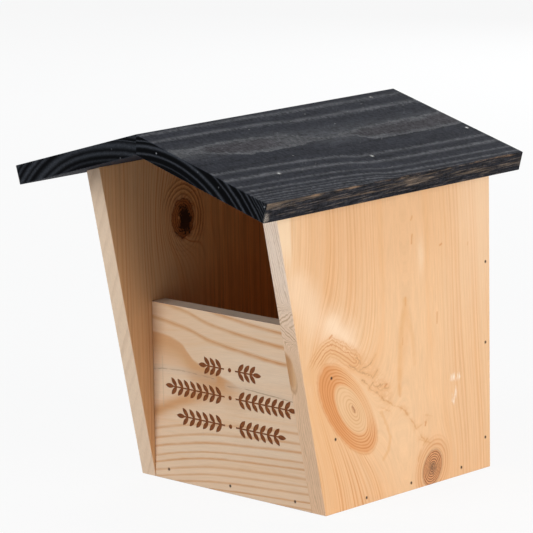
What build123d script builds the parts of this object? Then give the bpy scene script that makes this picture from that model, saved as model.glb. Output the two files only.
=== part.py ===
from build123d import *
import os
from math import cos, radians, sin, tan

# Open-fronted nest box of nailed softwood boards, hung by one screw through its back.
# X runs across the box, Y from front to back and Z up. The origin is at the bottom, under
# the middle of the roof. The back faces +Y, and the roof ends flush with it.

# Walls and floor, in millimetres
inner_width = 200.0
side_thickness = 18.0
front_thickness = 18.0
back_thickness = 18.0
floor_thickness = 18.0
base_depth = 230.0  # from the face of the low front to the back face
top_depth = 292.0  # the same at the top of the sides, whose front edges lean out
side_height = 299.0  # at the outer faces, up to the roof
front_height = 169.0  # the box is open above the low front
arris = 0.4  # eased corners of the boards

# Roof: two boards mitred on the ridge, with square eaves
roof_thickness = 18.0
roof_pitch = 15.7  # degrees
roof_length = 342.0  # along the ridge
roof_slope = 165.0  # ridge to eave, over the top face

# Holes: one for the hanging screw, four that drain the floor
hanging_hole_diameter = 6.0
hanging_hole_height = 262.0
drain_diameter = 8.0
drain_inset = 34.0  # from the inner faces of the walls

# Brads: flat wire nails with a small T head, driven just below the wood
brad_length = 35.0
brad_width = 1.3
brad_gauge = 1.0
brad_head_width = 2.4
brad_head_gauge = 1.4
brad_head_depth = 0.6
brad_point = 1.8
brad_set = 0.4  # how deep the heads lie in the walls
ridge_brad_set = 1.2  # the ridge brads slant, so their heads lie deeper
ridge_brad_angle = 25.0  # degrees below the horizontal
overrun = 5.0  # how far cuts run past a face

# Burned ornament on the low front: three rows of leafy sprigs
burn_depth = 0.5
leaf_length = 11.0
leaf_width = 4.6
leaf_angle = 48.0  # degrees between a leaf and its stem
stem_width = 1.5
berry_diameter = 4.2
sprig_gap = 7.0  # clear space on each side of a row's middle berry

# Where each brad stands, as shares of the joint that it holds
side_front_brad_shares = ((0.54, 0.745), (0.78, 0.406))  # front_thickness, front_height
side_floor_brad_shares = ((0.239, 0.33), (0.507, 0.40), (0.817, 0.42))  # depth, thickness
side_back_brad_shares = ((0.33, 0.665), (0.356, 0.407), (0.394, 0.10))  # thickness, height
front_floor_brad_shares = ((-0.41, 0.55), (-0.01, 0.417), (0.40, 0.39))  # width, thickness
back_floor_brad_shares = ((-0.34, 0.5), (0.02, 0.46), (0.35, 0.53))  # width, thickness
roof_side_brad_shares = ((0.187, 0.60), (0.538, 0.51))  # roof_length, side_thickness
roof_back_brad_share = (0.37, 0.82)  # back_thickness, outer half width
ridge_brad_shares = ((0.878, 0.06), (0.16, 0.06))  # roof_length, roof_slope; right, left

# Rows of sprigs: height as a share of front_height, reach to each side as a share of
# inner_width, and the pairs of leaves on each sprig
sprig_row_shares = ((0.695, 0.20, 3), (0.54, 0.42, 8), (0.38, 0.35, 6))

# Worked out from the sizes above
pitch = radians(roof_pitch)
inner_half = inner_width / 2
outer_half = inner_half + side_thickness
back_y = roof_length / 2
front_y = back_y - base_depth
lean = (top_depth - base_depth) / side_height
ridge_underside = side_height + outer_half * tan(pitch)
ridge_top = ridge_underside + roof_thickness / cos(pitch)
wall_top_inside = ridge_underside - inner_half * tan(pitch)
floor_front_y = front_y + front_thickness
floor_back_y = back_y - back_thickness
floor_depth = floor_back_y - floor_front_y
eave_top = (roof_slope * cos(pitch), ridge_top - roof_slope * sin(pitch))
eave_under = (
    eave_top[0] - roof_thickness * sin(pitch),
    eave_top[1] - roof_thickness * cos(pitch),
)

# Faces that the brads are driven into, each with its local Y up the box, and the slope
# that the right roof board rests on
right_face = Plane.right.offset(outer_half)
left_face = Plane.left.offset(outer_half)
front_face = Plane.front.offset(-front_y)
back_face = Plane.back.offset(back_y)
roof_seat = Plane(
    origin=(0, 0, ridge_underside), x_dir=(0, 1, 0), z_dir=(sin(pitch), 0, cos(pitch))
)

# Brad with the top of its head on the origin and its point towards -Z
with BuildPart() as brad:
    with BuildSketch():
        Rectangle(brad_head_gauge, brad_head_width)
    extrude(amount=-brad_head_depth)
    with BuildSketch():
        Rectangle(brad_gauge, brad_width)
    extrude(amount=-(brad_length - brad_point))
    with BuildSketch(Plane.XY.offset(-(brad_length - brad_point))):
        Rectangle(brad_gauge, brad_width)
    with BuildSketch(Plane.XY.offset(-brad_length)):
        Rectangle(brad_gauge / 4, brad_width)
    loft()

# What a driven brad leaves in the wood: itself and the dent above its head
with BuildPart() as brad_hole:
    add(brad.part)
    with BuildSketch():
        Rectangle(brad_head_gauge, brad_head_width)
    extrude(amount=overrun)


def driven(face, spots):
    """Places for brads driven square into a face at its local (x, y) spots."""
    return [face * Location((x, y, -brad_set)) for x, y in spots]


def roof_spot(side, along, down):
    """Point on top of the right (side 1) or left (side -1) roof board."""
    return Vector(
        side * down * cos(pitch), -back_y + along, ridge_top - down * sin(pitch)
    )


def driven_in_roof(side, along, down):
    """Place for a brad driven square into a roof board."""
    normal = Vector(side * sin(pitch), 0, cos(pitch))
    return Location(Plane(roof_spot(side, along, down), x_dir=(0, 1, 0), z_dir=normal))


def driven_across_ridge(side, along, down):
    """Place for a brad driven through one roof board into the other across the mitre."""
    slant = radians(ridge_brad_angle)
    back_along = Vector(side * cos(slant), 0, sin(slant))
    head = roof_spot(side, along, down) - back_along * ridge_brad_set
    return Location(Plane(head, x_dir=(0, 1, 0), z_dir=back_along))


def side_spots(facing):
    """Spots of a side's brads on its outer face; facing is 1 where local X is world Y."""
    front = [
        (facing * (front_y + a * front_thickness), b * front_height)
        for a, b in side_front_brad_shares
    ]
    floor = [
        (facing * (front_y + a * base_depth), b * floor_thickness)
        for a, b in side_floor_brad_shares
    ]
    back = [
        (facing * (back_y - a * back_thickness), b * side_height)
        for a, b in side_back_brad_shares
    ]
    return front, floor, back


# Places of all the brads, joint by joint
right_front_places, right_floor_places, right_back_places = (
    driven(right_face, spots) for spots in side_spots(1)
)
left_front_places, left_floor_places, left_back_places = (
    driven(left_face, spots) for spots in side_spots(-1)
)
front_floor_places = driven(
    front_face,
    [(a * inner_width, b * floor_thickness) for a, b in front_floor_brad_shares],
)
back_floor_places = driven(
    back_face,
    [(a * inner_width, b * floor_thickness) for a, b in back_floor_brad_shares],
)


def roof_side_places(side):
    """Brads through a roof board into the top edge of the side below it."""
    along_and_across = [
        (a * roof_length, outer_half - b * side_thickness)
        for a, b in roof_side_brad_shares
    ]
    lift = roof_thickness * sin(pitch)
    return [
        driven_in_roof(side, along, (across + lift) / cos(pitch))
        for along, across in along_and_across
    ]


def roof_back_places(side):
    """Brad through a roof board into the sloping top edge of the back."""
    a, b = roof_back_brad_share
    return [
        driven_in_roof(side, roof_length - a * back_thickness, b * outer_half / cos(pitch))
    ]


right_roof_side_places = roof_side_places(1)
left_roof_side_places = roof_side_places(-1)
right_roof_back_places = roof_back_places(1)
left_roof_back_places = roof_back_places(-1)
ridge_places = [
    driven_across_ridge(side, along * roof_length, down * roof_slope)
    for side, (along, down) in zip((1, -1), ridge_brad_shares)
]

# Side board with no holes yet: its front edge leans out, its top edge takes the roof's pitch
with BuildPart() as side_blank:
    with BuildSketch(Plane.right.offset(inner_half)):
        with BuildLine():
            Polyline(
                (back_y, 0),
                (front_y, 0),
                (front_y - lean * wall_top_inside, wall_top_inside),
                (back_y, wall_top_inside),
                close=True,
            )
        make_face()
    extrude(amount=side_thickness)
    split(bisect_by=roof_seat, keep=Keep.BOTTOM)
    chamfer(side_blank.edges(), length=arris)

with BuildPart() as right_side:
    add(side_blank.part)
    with Locations(right_front_places, right_floor_places, right_back_places):
        add(brad_hole.part, mode=Mode.SUBTRACT)
    with Locations(right_roof_side_places):
        add(brad_hole.part, mode=Mode.SUBTRACT)

with BuildPart() as left_side:
    add(side_blank.part.mirror(Plane.YZ))
    with Locations(left_front_places, left_floor_places, left_back_places):
        add(brad_hole.part, mode=Mode.SUBTRACT)
    with Locations(left_roof_side_places):
        add(brad_hole.part, mode=Mode.SUBTRACT)

# Back between the sides, with a gable top and the hole for the hanging screw
with BuildPart() as back_panel:
    with BuildSketch(Plane.front.offset(-back_y)):
        with BuildLine():
            Polyline(
                (-inner_half, 0),
                (inner_half, 0),
                (inner_half, wall_top_inside),
                (0, ridge_underside),
                (-inner_half, wall_top_inside),
                close=True,
            )
        make_face()
    extrude(amount=back_thickness)
    chamfer(back_panel.edges(), length=arris)
    with Locations(back_face * Location((0, hanging_hole_height, 0))):
        Hole(hanging_hole_diameter / 2)
    with Locations(right_back_places, left_back_places, back_floor_places):
        add(brad_hole.part, mode=Mode.SUBTRACT)
    with Locations(right_roof_back_places, left_roof_back_places):
        add(brad_hole.part, mode=Mode.SUBTRACT)

# Floor between the four walls, flush with their bottom edges
with BuildPart() as floor_panel:
    with BuildSketch():
        with Locations((0, (floor_front_y + floor_back_y) / 2)):
            Rectangle(inner_width, floor_depth)
    extrude(amount=floor_thickness)
    chamfer(floor_panel.edges(), length=arris)
    with Locations((0, (floor_front_y + floor_back_y) / 2, floor_thickness)):
        with GridLocations(
            inner_width - 2 * drain_inset, floor_depth - 2 * drain_inset, 2, 2
        ):
            Hole(drain_diameter / 2)
    with Locations(right_floor_places, left_floor_places):
        add(brad_hole.part, mode=Mode.SUBTRACT)
    with Locations(front_floor_places, back_floor_places):
        add(brad_hole.part, mode=Mode.SUBTRACT)

# One leaf, its tip on local +X and its foot on the origin
with BuildSketch() as leaf:
    with BuildLine():
        SagittaArc((0, 0), (leaf_length, 0), leaf_width / 2)
        SagittaArc((leaf_length, 0), (0, 0), leaf_width / 2)
    make_face()


def sprig_leaf_places(reach, pairs, way):
    """Feet and directions of the leaves of one sprig that grows outwards from its foot."""
    tip = reach - leaf_length
    step = (tip - sprig_gap) / pairs
    places = [Location((way * tip, 0), 90 - way * 90)]
    for number in range(pairs):
        foot = way * (sprig_gap + number * step + step / 2)
        for side in (1, -1):
            turn = side * leaf_angle
            places.append(Location((foot, 0), turn if way > 0 else 180 - turn))
    return places


# Low front between the sides, with the ornament burned into its face
with BuildPart() as front_panel:
    with BuildSketch(front_face):
        Rectangle(inner_width, front_height, align=(Align.CENTER, Align.MIN))
    extrude(amount=-front_thickness)
    chamfer(front_panel.edges(), length=arris)
    with BuildSketch(front_face) as ornament:
        for height_share, reach_share, pairs in sprig_row_shares:
            reach = reach_share * inner_width
            stem_end = reach - leaf_length / 2
            with Locations((0, height_share * front_height)):
                Circle(berry_diameter / 2)
                for way in (1, -1):
                    with Locations((way * (sprig_gap + stem_end) / 2, 0)):
                        Rectangle(stem_end - sprig_gap, stem_width)
                    with Locations(sprig_leaf_places(reach, pairs, way)):
                        add(leaf.sketch)
    extrude(amount=-burn_depth, mode=Mode.SUBTRACT)
    with Locations(right_front_places, left_front_places, front_floor_places):
        add(brad_hole.part, mode=Mode.SUBTRACT)

# Roof board with no holes yet: mitred at the ridge, square at the eave
with BuildPart() as roof_blank:
    with BuildSketch(Plane.front.offset(-back_y)):
        with BuildLine():
            Polyline((0, ridge_underside), (0, ridge_top), eave_top, eave_under, close=True)
        make_face()
    extrude(amount=roof_length)
    chamfer(roof_blank.edges().filter_by_position(Axis.X, arris, roof_slope), length=arris)

with BuildPart() as right_roof_board:
    add(roof_blank.part)
    with Locations(right_roof_side_places, right_roof_back_places, ridge_places):
        add(brad_hole.part, mode=Mode.SUBTRACT)

with BuildPart() as left_roof_board:
    add(roof_blank.part.mirror(Plane.YZ))
    with Locations(left_roof_side_places, left_roof_back_places, ridge_places):
        add(brad_hole.part, mode=Mode.SUBTRACT)

boards = {
    "right_side": right_side,
    "left_side": left_side,
    "back_panel": back_panel,
    "floor_panel": floor_panel,
    "front_panel": front_panel,
    "right_roof_board": right_roof_board,
    "left_roof_board": left_roof_board,
}
brad_groups = {
    "brads_right_side_to_front": right_front_places,
    "brads_right_side_to_floor": right_floor_places,
    "brads_right_side_to_back": right_back_places,
    "brads_left_side_to_front": left_front_places,
    "brads_left_side_to_floor": left_floor_places,
    "brads_left_side_to_back": left_back_places,
    "brads_front_to_floor": front_floor_places,
    "brads_back_to_floor": back_floor_places,
    "brads_right_roof_to_side": right_roof_side_places,
    "brad_right_roof_to_back": right_roof_back_places,
    "brads_left_roof_to_side": left_roof_side_places,
    "brad_left_roof_to_back": left_roof_back_places,
    "brads_across_ridge": ridge_places,
}

os.makedirs("parts", exist_ok=True)
for name, board in boards.items():
    board.part.label = name
    export_step(board.part, f"parts/{name}.step")
for name, places in brad_groups.items():
    with BuildPart() as group:
        with Locations(places):
            add(brad.part)
    group.part.label = name
    export_step(group.part, f"parts/{name}.step")
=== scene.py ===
"""Finishes, fastenings and studio for an open-fronted nest box of nailed boards."""

import math

import bmesh
import bpy
import numpy
from bpy.props import FloatProperty, FloatVectorProperty, IntProperty, PointerProperty
from mathutils import Matrix, Vector


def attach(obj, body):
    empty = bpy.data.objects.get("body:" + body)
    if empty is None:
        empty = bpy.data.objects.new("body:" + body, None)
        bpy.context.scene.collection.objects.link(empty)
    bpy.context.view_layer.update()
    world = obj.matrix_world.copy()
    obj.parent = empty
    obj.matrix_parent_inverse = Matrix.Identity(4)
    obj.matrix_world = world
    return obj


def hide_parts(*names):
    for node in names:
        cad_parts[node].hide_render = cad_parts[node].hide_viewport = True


bl_info = {
    "name": "Nest box",
    "version": (1, 0, 0),
    "blender": (4, 5, 0),
    "location": "3D View > Sidebar > Nest box",
    "description": "Wood, stain, brads and studio for an open-fronted nest box",
    "category": "Object",
}

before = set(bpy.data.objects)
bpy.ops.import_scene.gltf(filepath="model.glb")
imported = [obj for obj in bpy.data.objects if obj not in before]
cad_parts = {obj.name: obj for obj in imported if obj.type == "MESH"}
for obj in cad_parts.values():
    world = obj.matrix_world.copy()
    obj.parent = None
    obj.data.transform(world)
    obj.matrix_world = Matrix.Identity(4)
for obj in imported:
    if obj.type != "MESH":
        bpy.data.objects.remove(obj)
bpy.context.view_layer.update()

# Millimetres in the frame's unit, a metre; the finishes work in millimetres
MM = 1000.0

# Sizes of the box that the finishes follow, in millimetres
OUTER_HALF = 118.0
INNER_HALF = 100.0
BACK_Y = 171.0
FRONT_Y = -59.0
RIDGE_TOP = 350.87
ROOF_SLOPE = 165.0
ROOF_PITCH = math.radians(15.7)

# Knots in the sides: the middle along y and z, and the way in which the knot is long
FLOW_MIDDLE = (-19.1, 90.3)
SWIRL_MIDDLE = (-19.5, 91.0)
LARGE_KNOT_WAY = (0.617, -0.787)
DARK_KNOT = (87.5, 15.5)
DARK_KNOT_WAY = (-0.395, -0.919)
INNER_KNOT = (-15.6, 241.6)
INNER_KNOT_WAY = (0.05, -0.999)

# Lengths of the wood's streaks, bands and fibres across, along and through the grain
STREAKS = (8.0, 150.0, 14.0)
BANDS = (22.0, 260.0, 30.0)
FIBRES = (0.7, 22.0, 0.9)

# How far a seed of 1 moves a cloud and a lattice of specks, in lumps
CLOUD_SHIFT = (7.31, 3.77, 5.13)
SPECK_SHIFT = (2.9, 1.7, 4.3)

# Resin on the right side: paths along y and z, and how strongly each shows
RESIN_LINES = (
    (((14.0, 98.0), (26.0, 90.0), (35.0, 84.0), (46.0, 80.5)), 0.8),
    (((46.0, 80.5), (56.0, 71.0), (66.0, 56.0), (77.0, 44.0)), 0.8),
    (((46.0, 80.0), (58.0, 72.0), (72.0, 69.0), (88.0, 65.0)), 0.45),
    (((14.0, 88.0), (24.0, 84.0), (37.0, 74.0)), 0.45),
    (((66.0, 57.0), (74.0, 60.0), (80.0, 63.0)), 0.5),
    (((70.0, 46.0), (78.0, 42.0), (86.0, 40.0)), 0.6),
    (((81.0, 45.0), (77.0, 42.0), (72.0, 37.0), (68.5, 29.0), (67.0, 22.0)), 0.7),
)
RESIN_POCKETS = (
    ((60.5, 232.0), (61.5, 240.0), 0.6),
    ((51.5, 176.0), (52.0, 183.0), 0.55),
    ((47.0, 140.0), (47.5, 146.0), 0.45),
    ((95.5, 152.0), (95.5, 162.0), 0.5),
    ((100.0, 224.5), (102.5, 225.5), 0.7),
    ((60.0, 254.0), (61.5, 257.0), 0.5),
    ((43.0, 92.0), (42.0, 104.0), 0.35),
    ((139.5, 219.0), (140.0, 221.0), 0.5),
    ((78.0, 58.0), (79.0, 61.0), 0.7),
    ((22.0, 105.0), (25.0, 107.0), 0.7),
    ((-51.0, 163.0), (-48.0, 165.0), 0.7),
)

# Fine cracks in the front panel, along x and z
FRONT_SEAMS = (
    ((-101.0, 104.0), (-88.0, 106.5), (-60.0, 108.0), (-20.0, 106.5)),
    ((-3.0, 102.0), (20.0, 102.7), (60.0, 101.0), (82.0, 99.5)),
)

# Torn rings over the large knot, and cracks behind it, along y and z
TORN_RINGS = (
    (-76.0, 134.0), (-69.0, 143.0), (-59.0, 152.0), (-50.0, 155.0), (-37.0, 149.0), (-18.0, 136.0),
)
CRACKS = (
    ((-26.0, 133.0), (-11.0, 125.0), (7.0, 117.0), (12.0, 122.0)),
    ((-11.0, 127.0), (2.0, 129.0), (10.0, 137.0)),
    ((-17.0, 139.0), (-10.0, 132.0)),
    ((1.0, 107.0), (6.0, 112.0), (16.0, 103.0), (27.0, 103.5)),
    ((12.0, 108.0), (19.0, 107.0), (27.0, 108.0)),
    ((-9.0, 117.0), (2.0, 107.0), (17.0, 98.0), (22.0, 93.0)),
)

# Rings of a roof board about its pith: radius, half width, strength
ROOF_RINGS = (
    (121.3, 0.6, 0.45),
    (127.3, 0.9, 0.85),
    (134.1, 1.3, 0.95),
    (142.8, 0.8, 0.8),
    (148.3, 1.1, 1.0),
    (155.2, 0.8, 0.7),
    (160.4, 0.9, 0.9),
    (164.0, 0.6, 0.6),
    (166.6, 0.7, 0.8),
    (169.4, 0.6, 0.6),
    (171.6, 0.6, 0.8),
    (174.0, 0.6, 0.6),
    (176.4, 0.6, 0.8),
    (179.0, 0.6, 0.7),
)

# Studio: lamps aim at one point; the camera's turn is its azimuth, elevation and roll in degrees
LAMP_TARGET = (0.05, 0.0, 0.17)
CAMERA_PLACE = (2.13525, -2.23661, 0.83046)
CAMERA_TURN = (43.77, 11.43, -0.98)
CAMERA_LENS = 230.69
FLOOR_HALF = 3.0
FLOOR_DROP = 0.0003

# Corners nearer to each other than this are one, and a brad's wider end within this is its head
WELD = 1e-6
HEAD_REACH = 0.002

# Brads whose heads are higher than this are in the roof
ROOF_HEADS_ABOVE = 0.3

# Inputs of the brads' node tree, with the names of the brads' settings
BRAD_INPUTS = {
    "Heads": "Geometry", "Head width": "Float", "Head depth": "Float", "Head height": "Float",
    "Shank width": "Float", "Shank depth": "Float", "Length": "Float", "Point length": "Float",
    "Uneven depth": "Float", "Seed": "Int", "Steel": "Material",
}

# Shares of a brad's head that its flat face and its rounded rim take, and of the shank at its end
LID_SHARES = (0.88, 0.8)
RIM_SHARE = 0.3
POINT_SHARES = (0.12, 0.7)

# Sockets of a colour Mix node
MIX_SHARE, MIX_FIRST, MIX_SECOND, MIX_RESULT = 0, 6, 7, 2


class Field:
    """A number, vector or colour that varies over a piece: a node's output, used in formulas."""

    def __init__(self, tree, socket):
        self.tree = tree
        self.socket = socket


# Fields and numbers add, subtract, multiply and divide in either order
for sign, operation in (("add", "ADD"), ("sub", "SUBTRACT"), ("mul", "MULTIPLY"), ("truediv", "DIVIDE")):
    setattr(Field, f"__{sign}__", lambda one, other, kind=operation: formula(kind, one, other))
    setattr(Field, f"__r{sign}__", lambda one, other, kind=operation: formula(kind, other, one))
Field.__neg__ = lambda one: formula("MULTIPLY", one, -1.0)


def feed(tree, socket, value):
    """Links a field to a socket, or writes a plain value into it."""
    if isinstance(value, Field):
        tree.links.new(value.socket, socket)
    else:
        socket.default_value = value


def made(tree, kind, inputs, output=0, **settings):
    """The output of a new node. A node is made after the nodes that feed it and takes them as
    they are, number to number and vector to vector, because the renderer works nodes out in
    that order and can hold only some 250 values at once."""
    node = tree.nodes.new(kind)
    for key, value in settings.items():
        setattr(node, key, value)
    for key, value in inputs.items():
        feed(tree, node.inputs[key], value)
    return Field(tree, node.outputs[output])


def beside(field, output):
    """Another output of the node that a field comes from."""
    return Field(field.tree, field.socket.node.outputs[output])


def tree_of(values):
    return next(value.tree for value in values if isinstance(value, Field))


def formula(operation, *values):
    """One Math node on fields and numbers."""
    return made(tree_of(values), "ShaderNodeMath", dict(enumerate(values)), operation=operation)


def root(value):
    return formula("SQRT", value)


def square(value):
    return value * value


def size_of(value):
    return formula("ABSOLUTE", value)


def larger(a, b):
    return formula("MAXIMUM", a, b)


def smaller(a, b):
    return formula("MINIMUM", a, b)


def whole(value):
    return formula("FLOOR", value)


def step(value, low, high, start, end):
    """A smooth step from start, below low, to end, above high."""
    inputs = {"Value": value, "From Min": low, "From Max": high, "To Min": start, "To Max": end}
    return made(value.tree, "ShaderNodeMapRange", inputs, interpolation_type="SMOOTHSTEP")


def rise(value, low, high):
    return step(value, low, high, 0.0, 1.0)


def fall(value, low, high):
    return step(value, low, high, 1.0, 0.0)


def mostly(facing):
    """1 on the faces whose normal has this part near 1."""
    return rise(facing, 0.5, 0.8)


def traced(value, points):
    """A smooth curve through points (value, result), level beyond the first and the last."""
    first, last = points[0][0], points[-1][0]
    low = min(result for _, result in points)
    high = max(result for _, result in points)
    share = made(value.tree, "ShaderNodeFloatCurve", {"Value": (value - first) / (last - first)})
    mapping = share.socket.node.mapping
    for _ in points[2:]:
        mapping.curves[0].points.new(0.5, 0.5)
    for knob, (at, result) in zip(mapping.curves[0].points, points):
        knob.location = ((at - first) / (last - first), (result - low) / (high - low))
    mapping.update()
    return share * (high - low) + low


def bell(value, middle, width):
    """1 at middle, falling to 0 at about two widths from it."""
    away = (value - middle) / width
    return formula("EXPONENT", square(away) * -1.0)


def blended(a, b, share):
    """a where share is 0, b where it is 1."""
    return a + (b - a) * share


def vector(tree, x, y, z):
    return made(tree, "ShaderNodeCombineXYZ", {0: x, 1: y, 2: z})


def parts_of(arrow):
    """The x, y and z of a vector."""
    x = made(arrow.tree, "ShaderNodeSeparateXYZ", {0: arrow})
    return x, beside(x, 1), beside(x, 2)


def measured(place, sizes, seed, shift):
    """The place in lumps of the given sizes along x, y and z, moved by the seed."""
    scale = [1.0 / size for size in sizes]
    inputs = {"Scale": scale, "Location": [seed * part for part in shift], "Vector": place}
    return made(place.tree, "ShaderNodeMapping", inputs)


def cloud(place, sizes, seed, detail=2.0, roughness=0.5):
    """Smooth noise about 0, from -1 to 1, with lumps of the given sizes along x, y and z."""
    lumps = measured(place, sizes, seed, CLOUD_SHIFT)
    inputs = {"Scale": 1.0, "Detail": detail, "Roughness": roughness, "Vector": lumps}
    return made(place.tree, "ShaderNodeTexNoise", inputs) * 2.0 - 1.0


def dice(value, seed):
    """A number from 0 to 1 that is the same for equal values and unlike for others."""
    return made(value.tree, "ShaderNodeTexWhiteNoise", {"W": value + seed}, noise_dimensions="1D")


def specks(place, spacing, radius, seed):
    """Small dots scattered on a jittered lattice, of unlike sizes up to radius."""
    inputs = {"Scale": 1.0, "Vector": measured(place, spacing, seed, SPECK_SHIFT)}
    distance = made(place.tree, "ShaderNodeTexVoronoi", inputs, "Distance")
    luck = made(place.tree, "ShaderNodeSeparateColor", {0: beside(distance, "Color")})
    return fall(distance, 0.4 * radius, radius) * rise(luck, 0.55, 0.9)


def colour_mix(a, b, share, blend="MIX"):
    """Colour a where share is 0, colour b, or the product of both, where it is 1."""
    opaque = [colour if isinstance(colour, Field) else (*colour, 1.0) for colour in (a, b)]
    inputs = {MIX_SHARE: share, MIX_FIRST: opaque[0], MIX_SECOND: opaque[1]}
    tree = tree_of((share, a, b))
    return made(tree, "ShaderNodeMix", inputs, MIX_RESULT, data_type="RGBA", blend_type=blend)


def shaded(colour, strength):
    """The colour made lighter or darker by a field."""
    return made(strength.tree, "ShaderNodeHueSaturation", {"Color": colour, "Value": strength})


def vector_formula(operation, *values):
    """One Vector Math node on fields and tuples."""
    outcome = "Value" if operation in {"DISTANCE", "DOT_PRODUCT"} else "Vector"
    inputs = dict(enumerate(values))
    return made(tree_of(values), "ShaderNodeVectorMath", inputs, outcome, operation=operation)


def vector_times(arrow, strength):
    """A vector scaled by a number; one of them is a field."""
    inputs = {0: arrow, "Scale": strength}
    return made(tree_of((arrow, strength)), "ShaderNodeVectorMath", inputs, operation="SCALE")


def path_distance(a, b, points):
    """Distance in a plane from the point (a, b) to a path of segments."""
    place = vector(a.tree, a, b, 0.0)
    nearest = None
    for start, end in zip(points, points[1:]):
        run = (end[0] - start[0], end[1] - start[1], 0.0)
        length = math.hypot(*run)
        ahead = (run[0] / length**2, run[1] / length**2, 0.0)
        before = start[0] * ahead[0] + start[1] * ahead[1]
        share = vector_formula("DOT_PRODUCT", place, ahead) - before
        share.socket.node.use_clamp = True
        foot = vector_formula("ADD", vector_times(run, share), (*start, 0.0))
        distance = vector_formula("DISTANCE", place, foot)
        nearest = distance if nearest is None else smaller(nearest, distance)
    return nearest


def head_distance(wood, heads):
    """Distance in millimetres to the nearest brad head."""
    nearest = None
    for head in heads:
        distance = vector_formula("DISTANCE", wood.place, tuple(head.middle * MM))
        nearest = distance if nearest is None else smaller(nearest, distance)
    return nearest


class Finish:
    """A material under construction: its tree, the place on the piece and the colour so far."""

    def __init__(self, name):
        self.material = bpy.data.materials.new(name)
        self.material.use_nodes = True
        self.tree = self.material.node_tree
        self.shader = self.tree.nodes["Principled BSDF"]
        place = made(self.tree, "ShaderNodeTexCoord", {}, "Object")
        self.place = vector_times(place, MM)
        self.x, self.y, self.z = parts_of(self.place)
        self.facing = parts_of(beside(place, "Normal"))
        self.colour = None

    def cloud(self, sizes, seed, detail=2.0, roughness=0.5):
        """Noise over the place on the piece."""
        return cloud(self.place, sizes, seed, detail, roughness)

    def paint(self, colour, share):
        """Lays a colour over the one so far; it covers fully where share is 1."""
        self.colour = colour_mix(self.colour, colour, share)

    def shade(self, strength):
        """Makes the colour lighter or darker by a field."""
        self.colour = shaded(self.colour, strength)

    def tint(self, colour):
        """Multiplies the colour by another one."""
        self.colour = colour_mix(self.colour, colour, 1.0, "MULTIPLY")

    def finish(self, roughness, height, specular):
        """Plugs colour, roughness and relief in millimetres into the shader."""
        inputs = self.shader.inputs
        feed(self.tree, inputs["Base Color"], self.colour)
        feed(self.tree, inputs["Roughness"], roughness)
        feed(self.tree, inputs["Specular IOR Level"], specular)
        relief = {"Strength": 1.0, "Distance": 1.0 / MM, "Height": height}
        feed(self.tree, inputs["Normal"], made(self.tree, "ShaderNodeBump", relief))
        return self.material


def oval_distance(a, b, middle, ahead, stretch, drift=(0.0, 0.0)):
    """Half width of the oval ring through the point (a, b); the ovals are stretched along
    ahead, and their middles drift as they grow."""
    da = a - middle[0]
    db = b - middle[1]
    p = (da * ahead[0] + db * ahead[1]) / stretch
    q = db * ahead[0] - da * ahead[1]
    slack = 1.0 - drift[0] ** 2 - drift[1] ** 2
    inner = p * drift[0] + q * drift[1]
    reach = root(square(inner) + (square(p) + square(q)) * slack)
    return (reach - inner) / slack


def swelling(distance, radius, slope, softness):
    """A cone with a rounded foot, by which the rings bulge around a knot."""
    inside = radius - distance
    return (inside + root(square(inside) + softness**2)) * (slope / 2)


def latewood(phase, start=0.4, sharp=0.08):
    """Darkness of the late wood through each year's ring: a slow rise and a sudden end."""
    part = phase - whole(phase)
    return rise(part, start, 1.0 - 1.5 * sharp) * fall(part, 1.0 - sharp, 1.0)


def unlike_rings(phase, weakest, seed, start=0.4, sharp=0.08):
    """Late wood in which each year has its own strength, from weakest to 1."""
    late = latewood(phase, start, sharp)
    return late * (weakest + (1.0 - weakest) * dice(whole(phase), seed))


def unlike_years(growth, length, seed, detail=2.0):
    """Noise along the growth, so that years aren't equally wide."""
    return cloud(vector(growth.tree, growth, 0.0, 0.0), (length, 1.0, 1.0), seed, detail)


def palette_of(settings, tint=(1.0, 1.0, 1.0), contrast=1.0):
    """The wood's colours times a board's own tint, and the strength of its rings."""
    colours = (settings.spring_colour, settings.summer_colour, settings.heart_colour, settings.sap_colour)
    shades = [[part * share for part, share in zip(colour, tint)] for colour in colours]
    return (*shades, settings.ring_contrast * contrast)


def grow_pine(wood, palette, late, grain_place):
    """Lays on pale wood with its rings, streaks and fibres; returns the fibres' relief."""
    spring, summer, heart, sap, contrast = palette
    streaks = cloud(grain_place, STREAKS, 3.0, 3.0, 0.6)
    bands = cloud(grain_place, BANDS, 7.0)
    fibres = cloud(grain_place, FIBRES, 5.0, 4.0, 0.75)
    wood.colour = colour_mix(spring, heart, rise(streaks, -0.1, 0.7) * 0.6)
    wood.paint(sap, rise(-bands, 0.0, 0.7) * 0.5)
    wood.paint(summer, late * contrast)
    wood.shade(1.0 + fibres * 0.17 + bands * 0.05)
    return fibres


def dent(wood, heads):
    """Bruises and shades the wood around the sunk brads."""
    grit = wood.cloud((0.9, 0.9, 0.9), 21.0, 2.0, 0.6)
    around = fall(head_distance(wood, heads) + grit * 0.5, 0.9, 2.1)
    wood.paint((0.12, 0.062, 0.034), around * 0.8)


def tear_rings(wood, swirl, torn, mottle):
    """Torn rings of the right side over its large knot."""
    u, v = wood.z, wood.y
    tents = path_distance(v + torn * 2.2, u + torn * 2.2, TORN_RINGS)
    brow_phase = tents / 3.1 + mottle * 0.5 + torn * 0.6
    brow = unlike_rings(brow_phase, 0.35, 6.0, 0.3, 0.25)
    brow = brow * fall(tents, 6.0, 10.5) * rise(swirl, 23.5, 26.0) * rise(u + v * 0.3, 112.0, 126.0)
    ruffled = fall(tents, 5.0, 14.0) * rise(swirl, 22.0, 26.0)
    wood.paint((0.76, 0.45, 0.225), ruffled * 0.55)
    wood.paint((0.61, 0.27, 0.10), brow * 0.9)


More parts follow.
